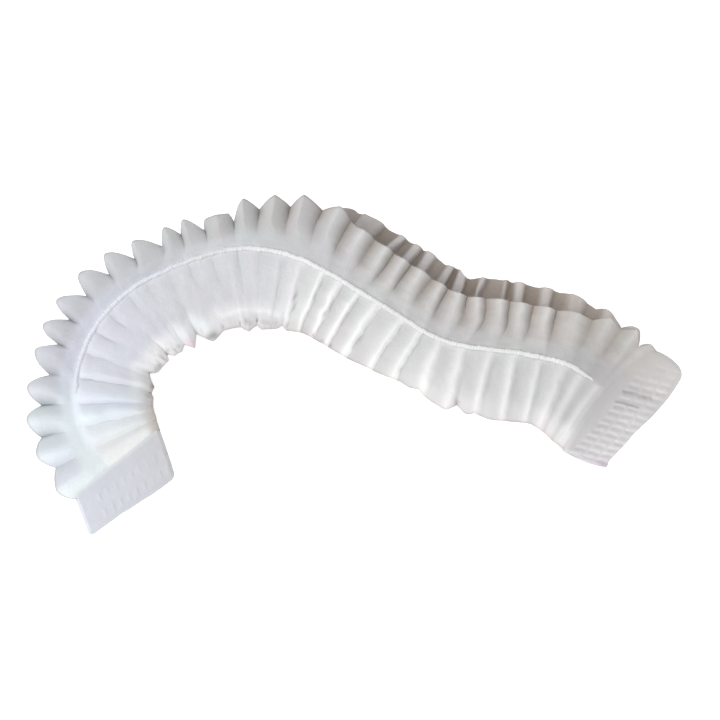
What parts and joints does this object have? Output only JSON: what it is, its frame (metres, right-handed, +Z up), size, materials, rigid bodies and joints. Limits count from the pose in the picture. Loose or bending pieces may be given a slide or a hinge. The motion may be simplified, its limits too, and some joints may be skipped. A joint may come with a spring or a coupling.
{
  "type": "disposable shower cap, packed as a pleated strip",
  "caption": "Pleated nonwoven tube gathered on two elastic threads into a narrow curved strip, with a toothed frill, an open mouth between its walls and an embossed heat seal at each end.",
  "frame": {"origin": "centre of the bounding box on the surface that the strip lies on", "axes": "+X along the strip from the left seal to the right seal, +Y towards the frill at the middle of the strip, +Z up from the surface"},
  "size_m": [0.1944, 0.1004, 0.0135],
  "materials": {
    "nonwoven": "matte spunbond nonwoven, thin enough to let light through, with a fine point bond",
    "elastic": "white covered elastic thread, slightly bumpy",
    "heat_seal": "layers of nonwoven welded flat, smoother and denser, with short embossed bars"
  },
  "bodies": {
    "root": {"front_panel": "nonwoven", "back_panel": "nonwoven", "crown_folds": "nonwoven", "front_elastic": "elastic", "back_elastic": "elastic", "left_end_seal": "heat_seal", "right_end_seal": "heat_seal"}
  },
  "joints": []
}
